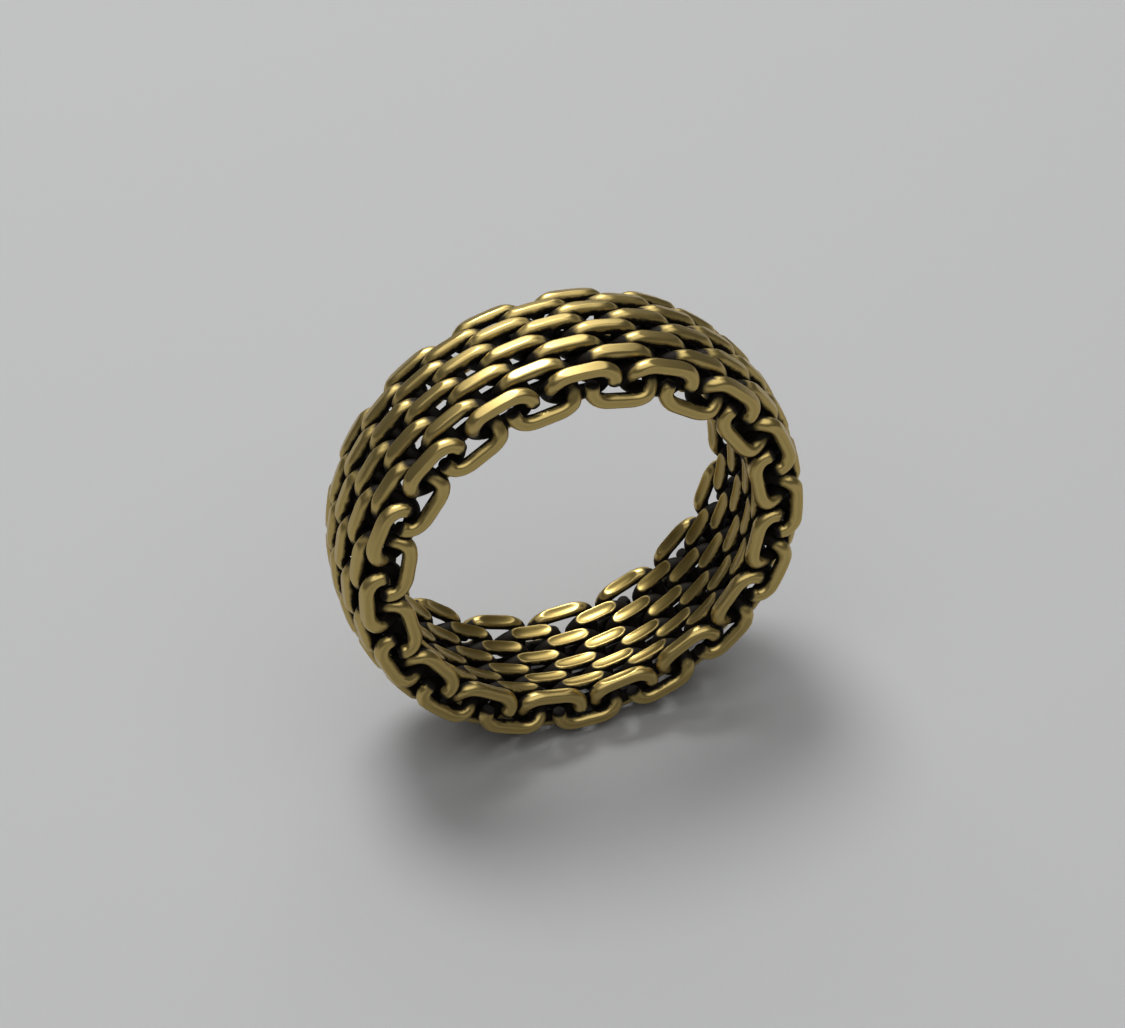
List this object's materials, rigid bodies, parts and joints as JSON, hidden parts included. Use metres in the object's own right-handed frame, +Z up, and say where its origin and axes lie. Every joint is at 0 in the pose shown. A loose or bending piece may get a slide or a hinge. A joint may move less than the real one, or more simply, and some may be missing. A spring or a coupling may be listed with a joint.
{
  "type": "chain mesh finger ring",
  "caption": "Flexible finger ring woven from flattened brass wire coils linked side by side into a hoop, with hooked wire ends along both edges.",
  "frame": {"origin": "on the surface the ring stands on, under the middle of the band", "axes": "+Y through the finger hole, from the edge where the first coil's outer wire end is hooked in towards the other edge; +Z up; +X completes the right-handed frame"},
  "size_m": [0.0236, 0.0068, 0.0236],
  "materials": {
    "antiqued_brass": "satin brass wire with a brown-black patina left in every recess"
  },
  "bodies": {
    "mesh_coil_01": {"mesh_coil_01": "antiqued_brass"},
    "mesh_coil_02": {"mesh_coil_02": "antiqued_brass"},
    "mesh_coil_03": {"mesh_coil_03": "antiqued_brass"},
    "mesh_coil_04": {"mesh_coil_04": "antiqued_brass"},
    "mesh_coil_05": {"mesh_coil_05": "antiqued_brass"},
    "mesh_coil_06": {"mesh_coil_06": "antiqued_brass"},
    "mesh_coil_07": {"mesh_coil_07": "antiqued_brass"},
    "mesh_coil_08": {"mesh_coil_08": "antiqued_brass"},
    "mesh_coil_09": {"mesh_coil_09": "antiqued_brass"},
    "mesh_coil_10": {"mesh_coil_10": "antiqued_brass"},
    "mesh_coil_11": {"mesh_coil_11": "antiqued_brass"},
    "mesh_coil_12": {"mesh_coil_12": "antiqued_brass"},
    "mesh_coil_13": {"mesh_coil_13": "antiqued_brass"},
    "mesh_coil_14": {"mesh_coil_14": "antiqued_brass"},
    "mesh_coil_15": {"mesh_coil_15": "antiqued_brass"},
    "mesh_coil_16": {"mesh_coil_16": "antiqued_brass"},
    "mesh_coil_17": {"mesh_coil_17": "antiqued_brass"},
    "mesh_coil_18": {"mesh_coil_18": "antiqued_brass"},
    "mesh_coil_19": {"mesh_coil_19": "antiqued_brass"},
    "mesh_coil_20": {"mesh_coil_20": "antiqued_brass"},
    "mesh_coil_21": {"mesh_coil_21": "antiqued_brass"},
    "mesh_coil_22": {"mesh_coil_22": "antiqued_brass"},
    "mesh_coil_23": {"mesh_coil_23": "antiqued_brass"},
    "mesh_coil_24": {"mesh_coil_24": "antiqued_brass"},
    "mesh_coil_25": {"mesh_coil_25": "antiqued_brass"},
    "mesh_coil_26": {"mesh_coil_26": "antiqued_brass"},
    "mesh_coil_27": {"mesh_coil_27": "antiqued_brass"},
    "mesh_coil_28": {"mesh_coil_28": "antiqued_brass"},
    "mesh_coil_29": {"mesh_coil_29": "antiqued_brass"},
    "mesh_coil_30": {"mesh_coil_30": "antiqued_brass"},
    "mesh_coil_31": {"mesh_coil_31": "antiqued_brass"},
    "mesh_coil_32": {"mesh_coil_32": "antiqued_brass"}
  },
  "joints": [
    {"name": "link_01_02", "type": "hinge", "parent": "mesh_coil_01", "child": "mesh_coil_02", "pos_m": [0.00101, 0, 0.00154], "axis": [0, -1, 0], "range_deg": [-3, 3]},
    {"name": "link_02_03", "type": "hinge", "parent": "mesh_coil_02", "child": "mesh_coil_03", "pos_m": [0.00299, 0, 0.00194], "axis": [0, -1, 0], "range_deg": [-2.54, 2.54]},
    {"name": "link_03_04", "type": "hinge", "parent": "mesh_coil_03", "child": "mesh_coil_04", "pos_m": [0.00486, 0, 0.00271], "axis": [0, -1, 0], "range_deg": [-1.7, 1.7]},
    {"name": "link_04_05", "type": "hinge", "parent": "mesh_coil_04", "child": "mesh_coil_05", "pos_m": [0.00653, 0, 0.00383], "axis": [0, -1, 0], "range_deg": [-0.6, 0.6]},
    {"name": "link_05_06", "type": "hinge", "parent": "mesh_coil_05", "child": "mesh_coil_06", "pos_m": [0.00796, 0, 0.00526], "axis": [0, -1, 0], "range_deg": [-0.6, 0.6]},
    {"name": "link_06_07", "type": "hinge", "parent": "mesh_coil_06", "child": "mesh_coil_07", "pos_m": [0.00908, 0, 0.00694], "axis": [0, -1, 0], "range_deg": [-1.7, 1.7]},
    {"name": "link_07_08", "type": "hinge", "parent": "mesh_coil_07", "child": "mesh_coil_08", "pos_m": [0.00986, 0, 0.0088], "axis": [0, -1, 0], "range_deg": [-2.54, 2.54]},
    {"name": "link_08_09", "type": "hinge", "parent": "mesh_coil_08", "child": "mesh_coil_09", "pos_m": [0.01025, 0, 0.01078], "axis": [0, -1, 0], "range_deg": [-3, 3]},
    {"name": "link_09_10", "type": "hinge", "parent": "mesh_coil_09", "child": "mesh_coil_10", "pos_m": [0.01025, 0, 0.0128], "axis": [0, -1, 0], "range_deg": [-3, 3]},
    {"name": "link_10_11", "type": "hinge", "parent": "mesh_coil_10", "child": "mesh_coil_11", "pos_m": [0.00986, 0, 0.01478], "axis": [0, -1, 0], "range_deg": [-2.54, 2.54]},
    {"name": "link_11_12", "type": "hinge", "parent": "mesh_coil_11", "child": "mesh_coil_12", "pos_m": [0.00908, 0, 0.01665], "axis": [0, -1, 0], "range_deg": [-1.7, 1.7]},
    {"name": "link_12_13", "type": "hinge", "parent": "mesh_coil_12", "child": "mesh_coil_13", "pos_m": [0.00796, 0, 0.01833], "axis": [0, -1, 0], "range_deg": [-0.6, 0.6]},
    {"name": "link_13_14", "type": "hinge", "parent": "mesh_coil_13", "child": "mesh_coil_14", "pos_m": [0.00653, 0, 0.01976], "axis": [0, -1, 0], "range_deg": [-0.6, 0.6]},
    {"name": "link_14_15", "type": "hinge", "parent": "mesh_coil_14", "child": "mesh_coil_15", "pos_m": [0.00486, 0, 0.02088], "axis": [0, -1, 0], "range_deg": [-1.7, 1.7]},
    {"name": "link_15_16", "type": "hinge", "parent": "mesh_coil_15", "child": "mesh_coil_16", "pos_m": [0.00299, 0, 0.02165], "axis": [0, -1, 0], "range_deg": [-2.54, 2.54]},
    {"name": "link_16_17", "type": "hinge", "parent": "mesh_coil_16", "child": "mesh_coil_17", "pos_m": [0.00101, 0, 0.02204], "axis": [0, -1, 0], "range_deg": [-3, 3]},
    {"name": "link_32_01", "type": "hinge", "parent": "mesh_coil_01", "child": "mesh_coil_32", "pos_m": [-0.00101, 0, 0.00154], "axis": [0, -1, 0], "range_deg": [-3, 3]},
    {"name": "link_31_32", "type": "hinge", "parent": "mesh_coil_32", "child": "mesh_coil_31", "pos_m": [-0.00299, 0, 0.00194], "axis": [0, -1, 0], "range_deg": [-2.54, 2.54]},
    {"name": "link_30_31", "type": "hinge", "parent": "mesh_coil_31", "child": "mesh_coil_30", "pos_m": [-0.00486, 0, 0.00271], "axis": [0, -1, 0], "range_deg": [-1.7, 1.7]},
    {"name": "link_29_30", "type": "hinge", "parent": "mesh_coil_30", "child": "mesh_coil_29", "pos_m": [-0.00653, 0, 0.00383], "axis": [0, -1, 0], "range_deg": [-0.6, 0.6]},
    {"name": "link_28_29", "type": "hinge", "parent": "mesh_coil_29", "child": "mesh_coil_28", "pos_m": [-0.00796, 0, 0.00526], "axis": [0, -1, 0], "range_deg": [-0.6, 0.6]},
    {"name": "link_27_28", "type": "hinge", "parent": "mesh_coil_28", "child": "mesh_coil_27", "pos_m": [-0.00908, 0, 0.00694], "axis": [0, -1, 0], "range_deg": [-1.7, 1.7]},
    {"name": "link_26_27", "type": "hinge", "parent": "mesh_coil_27", "child": "mesh_coil_26", "pos_m": [-0.00986, 0, 0.0088], "axis": [0, -1, 0], "range_deg": [-2.54, 2.54]},
    {"name": "link_25_26", "type": "hinge", "parent": "mesh_coil_26", "child": "mesh_coil_25", "pos_m": [-0.01025, 0, 0.01078], "axis": [0, -1, 0], "range_deg": [-3, 3]},
    {"name": "link_24_25", "type": "hinge", "parent": "mesh_coil_25", "child": "mesh_coil_24", "pos_m": [-0.01025, 0, 0.0128], "axis": [0, -1, 0], "range_deg": [-3, 3]},
    {"name": "link_23_24", "type": "hinge", "parent": "mesh_coil_24", "child": "mesh_coil_23", "pos_m": [-0.00986, 0, 0.01478], "axis": [0, -1, 0], "range_deg": [-2.54, 2.54]},
    {"name": "link_22_23", "type": "hinge", "parent": "mesh_coil_23", "child": "mesh_coil_22", "pos_m": [-0.00908, 0, 0.01665], "axis": [0, -1, 0], "range_deg": [-1.7, 1.7]},
    {"name": "link_21_22", "type": "hinge", "parent": "mesh_coil_22", "child": "mesh_coil_21", "pos_m": [-0.00796, 0, 0.01833], "axis": [0, -1, 0], "range_deg": [-0.6, 0.6]},
    {"name": "link_20_21", "type": "hinge", "parent": "mesh_coil_21", "child": "mesh_coil_20", "pos_m": [-0.00653, 0, 0.01976], "axis": [0, -1, 0], "range_deg": [-0.6, 0.6]},
    {"name": "link_19_20", "type": "hinge", "parent": "mesh_coil_20", "child": "mesh_coil_19", "pos_m": [-0.00486, 0, 0.02088], "axis": [0, -1, 0], "range_deg": [-1.7, 1.7]},
    {"name": "link_18_19", "type": "hinge", "parent": "mesh_coil_19", "child": "mesh_coil_18", "pos_m": [-0.00299, 0, 0.02165], "axis": [0, -1, 0], "range_deg": [-2.54, 2.54]}
  ],
  "couplings": [
    {"joint": "link_02_03", "follows": "link_01_02", "ratio": 0.84776},
    {"joint": "link_03_04", "follows": "link_01_02", "ratio": 0.56645},
    {"joint": "link_04_05", "follows": "link_01_02", "ratio": 0.19891},
    {"joint": "link_05_06", "follows": "link_01_02", "ratio": -0.19891},
    {"joint": "link_06_07", "follows": "link_01_02", "ratio": -0.56645},
    {"joint": "link_07_08", "follows": "link_01_02", "ratio": -0.84776},
    {"joint": "link_08_09", "follows": "link_01_02", "ratio": -1},
    {"joint": "link_09_10", "follows": "link_01_02", "ratio": -1},
    {"joint": "link_10_11", "follows": "link_01_02", "ratio": -0.84776},
    {"joint": "link_11_12", "follows": "link_01_02", "ratio": -0.56645},
    {"joint": "link_12_13", "follows": "link_01_02", "ratio": -0.19891},
    {"joint": "link_13_14", "follows": "link_01_02", "ratio": 0.19891},
    {"joint": "link_14_15", "follows": "link_01_02", "ratio": 0.56645},
    {"joint": "link_15_16", "follows": "link_01_02", "ratio": 0.84776},
    {"joint": "link_16_17", "follows": "link_01_02", "ratio": 1},
    {"joint": "link_32_01", "follows": "link_01_02", "ratio": -1},
    {"joint": "link_31_32", "follows": "link_01_02", "ratio": -0.84776},
    {"joint": "link_30_31", "follows": "link_01_02", "ratio": -0.56645},
    {"joint": "link_29_30", "follows": "link_01_02", "ratio": -0.19891},
    {"joint": "link_28_29", "follows": "link_01_02", "ratio": 0.19891},
    {"joint": "link_27_28", "follows": "link_01_02", "ratio": 0.56645},
    {"joint": "link_26_27", "follows": "link_01_02", "ratio": 0.84776},
    {"joint": "link_25_26", "follows": "link_01_02", "ratio": 1},
    {"joint": "link_24_25", "follows": "link_01_02", "ratio": 1},
    {"joint": "link_23_24", "follows": "link_01_02", "ratio": 0.84776},
    {"joint": "link_22_23", "follows": "link_01_02", "ratio": 0.56645},
    {"joint": "link_21_22", "follows": "link_01_02", "ratio": 0.19891},
    {"joint": "link_20_21", "follows": "link_01_02", "ratio": -0.19891},
    {"joint": "link_19_20", "follows": "link_01_02", "ratio": -0.56645},
    {"joint": "link_18_19", "follows": "link_01_02", "ratio": -0.84776}
  ]
}
